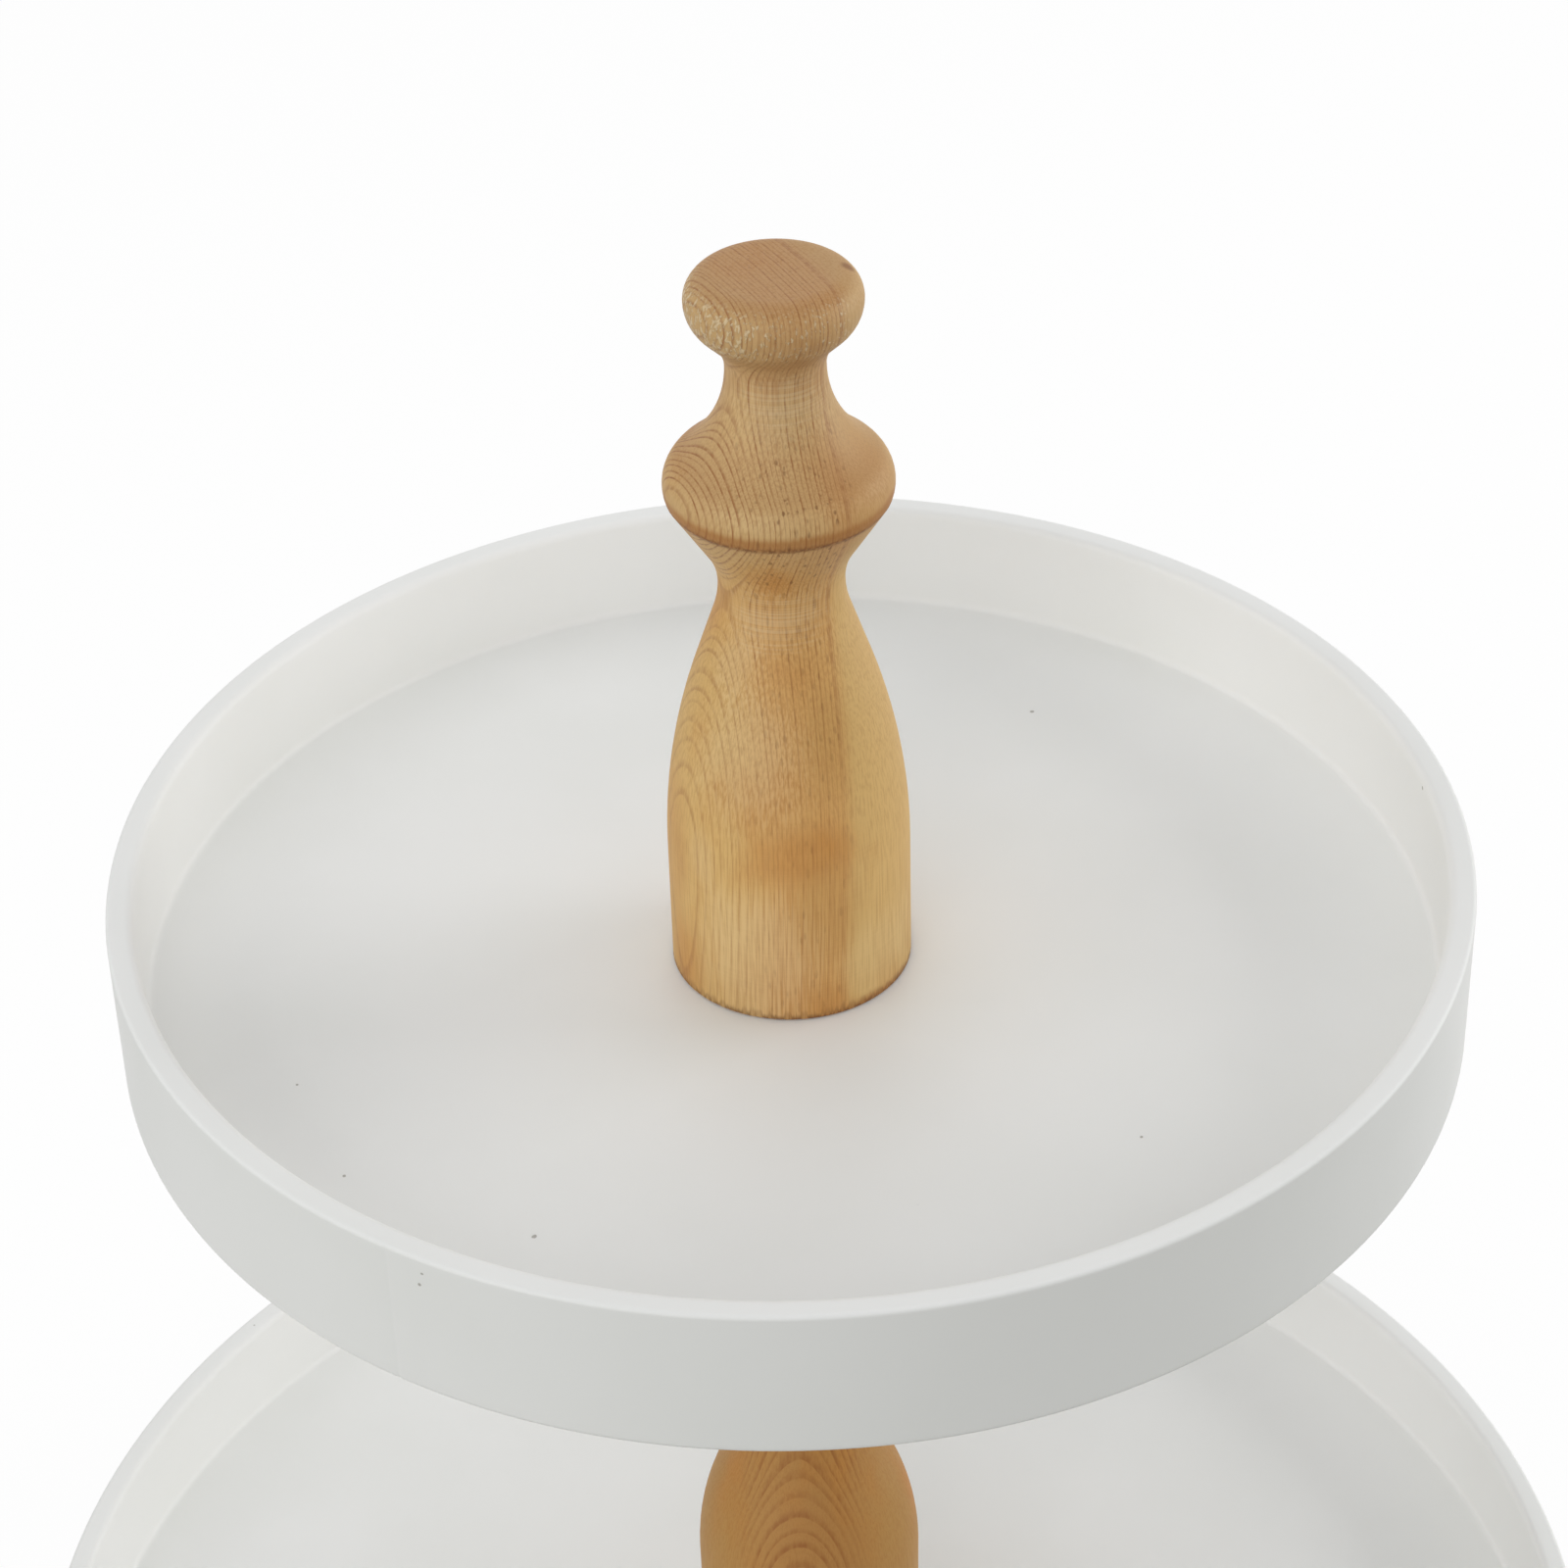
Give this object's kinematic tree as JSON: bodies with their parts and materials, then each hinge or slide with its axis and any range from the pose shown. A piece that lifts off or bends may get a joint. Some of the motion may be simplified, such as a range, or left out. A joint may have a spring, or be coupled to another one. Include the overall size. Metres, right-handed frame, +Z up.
{
  "type": "tiered cake stand",
  "caption": "Tiered wooden cake stand: round white-painted rimmed trays held on a turned natural-wood post by a screw-on turned handle with a knob.",
  "frame": {"origin": "on the table under the centre of the stand, at the plane of the feet", "axes": "+Z up along the post and the handle; -Y is the side seen in the picture; +X to that viewer's right"},
  "size_m": [0.33, 0.33, 0.3636],
  "materials": {
    "turned_wood": "satin oil",
    "white_paint": "satin white paint on wood",
    "zinc_steel": "zinc plated",
    "insert_brass": "machined",
    "foot_rubber": "matt"
  },
  "bodies": {
    "base": {"lower_tray_floor": "white_paint", "lower_tray_wall": "white_paint", "feet": "foot_rubber", "base_bolt": "zinc_steel", "base_washer": "zinc_steel", "post": "turned_wood", "post_bottom_insert": "insert_brass", "post_top_insert": "insert_brass", "tie_stud": "zinc_steel"},
    "upper_tray": {"upper_tray_floor": "white_paint", "upper_tray_wall": "white_paint"},
    "handle_thread": {"handle_insert": "insert_brass"},
    "handle": {"handle": "turned_wood"}
  },
  "joints": [
    {"name": "upper_tray_turn", "type": "hinge", "parent": "base", "child": "upper_tray", "pos_m": [0, 0, 0.215], "axis": [0, 0, 1], "continuous": true},
    {"name": "handle_rise", "type": "slide", "parent": "base", "child": "handle_thread", "axis": [0, 0, 1], "range_m": [0, 0.015]},
    {"name": "handle_turn", "type": "hinge", "parent": "handle_thread", "child": "handle", "pos_m": [0, 0, 0.2191], "axis": [0, 0, 1], "range_deg": [0, 4320]}
  ],
  "couplings": [
    {"joint": "handle_rise", "follows": "handle_turn", "m_per_rad": 0.00019894}
  ]
}
